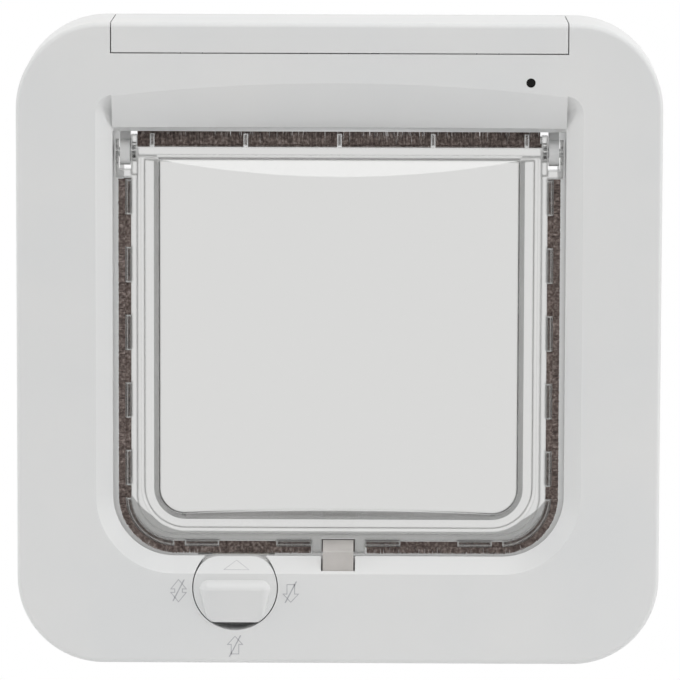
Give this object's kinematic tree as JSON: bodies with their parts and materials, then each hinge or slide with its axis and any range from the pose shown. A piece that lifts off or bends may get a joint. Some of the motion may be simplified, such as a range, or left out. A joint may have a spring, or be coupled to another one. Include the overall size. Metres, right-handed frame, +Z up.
{
  "type": "cat flap",
  "caption": "Square door-mounted cat flap with a clear swinging flap, pile seals, a turning manual lock, a motor latch and a battery cover.",
  "frame": {"origin": "centre of the interior unit's outline, in the plane of its face that lies on the door", "axes": "+X to the right seen from the room, +Y through the door to the outdoors, +Z up"},
  "size_m": [0.21, 0.0912, 0.21],
  "materials": {
    "white_abs": "fine-grained white moulding",
    "clear_plastic": "clear moulded plastic with a slight smoke tint",
    "brown_pile": "dense brown pile weather strip",
    "grey_plastic": "warm grey moulding",
    "dark_lens": "dark indicator lens",
    "zinc_steel": "zinc-plated steel",
    "stainless": "ground stainless pin",
    "magnet": "dark sintered ferrite",
    "copper_wire": "enamelled copper winding",
    "board_green": "solder-resist green",
    "board_parts": "black epoxy packages",
    "cell_wrap": "plain printed film over the cells",
    "contact_metal": "nickel-plated spring strip",
    "motor_metal": "drawn steel can",
    "nylon": "natural nylon",
    "switch_black": "black switch body"
  },
  "bodies": {
    "frame": {"front_frame": "white_abs", "rear_housing": "white_abs", "exterior_frame": "white_abs", "mounting_screws": "zinc_steel", "screw_caps": "white_abs", "housing_screws": "zinc_steel", "antenna_coil": "copper_wire", "control_board": "board_green", "board_components": "board_parts", "status_led": "dark_lens", "battery_tray": "white_abs", "battery_cells": "cell_wrap", "battery_contacts": "contact_metal", "latch_gearmotor": "motor_metal", "frame_magnet": "magnet", "learn_switch": "switch_black"},
    "flap": {"flap_panel": "clear_plastic", "side_pile_left": "brown_pile", "side_pile_right": "brown_pile", "top_pile": "brown_pile", "flap_magnet": "magnet", "hinge_pins": "stainless"},
    "knob": {"lock_knob": "white_abs", "lock_cam": "nylon", "cam_screw": "zinc_steel"},
    "latch": {"latch_slide": "grey_plastic"},
    "pinion": {"latch_pinion": "nylon"},
    "cover": {"battery_cover": "white_abs"},
    "button": {"learn_button": "grey_plastic"}
  },
  "joints": [
    {"name": "flap_swing", "type": "hinge", "parent": "frame", "child": "flap", "pos_m": [0, -0.0225, 0.0614], "axis": [1, 0, 0], "range_deg": [0, 85]},
    {"name": "lock_knob_turn", "type": "hinge", "parent": "frame", "child": "knob", "pos_m": [-0.0333, -0.03, -0.079], "axis": [0, 1, 0], "continuous": true},
    {"name": "latch_drop", "type": "slide", "parent": "frame", "child": "latch", "axis": [0, 0, -1], "range_m": [0, 0.006]},
    {"name": "latch_pinion_turn", "type": "hinge", "parent": "frame", "child": "pinion", "pos_m": [0.0088, -0.03, -0.089], "axis": [0, -1, 0], "range_deg": [-1, 75]},
    {"name": "battery_cover_lift", "type": "slide", "parent": "frame", "child": "cover", "axis": [0, 0, 1], "range_m": [0, 0.03]},
    {"name": "learn_button_press", "type": "slide", "parent": "frame", "child": "button", "axis": [0, 0, -1], "range_m": [0, 0.0006], "stiffness_N_per_m": 400}
  ],
  "couplings": [
    {"joint": "latch_pinion_turn", "follows": "latch_drop", "rad_per_m": 208.33}
  ]
}
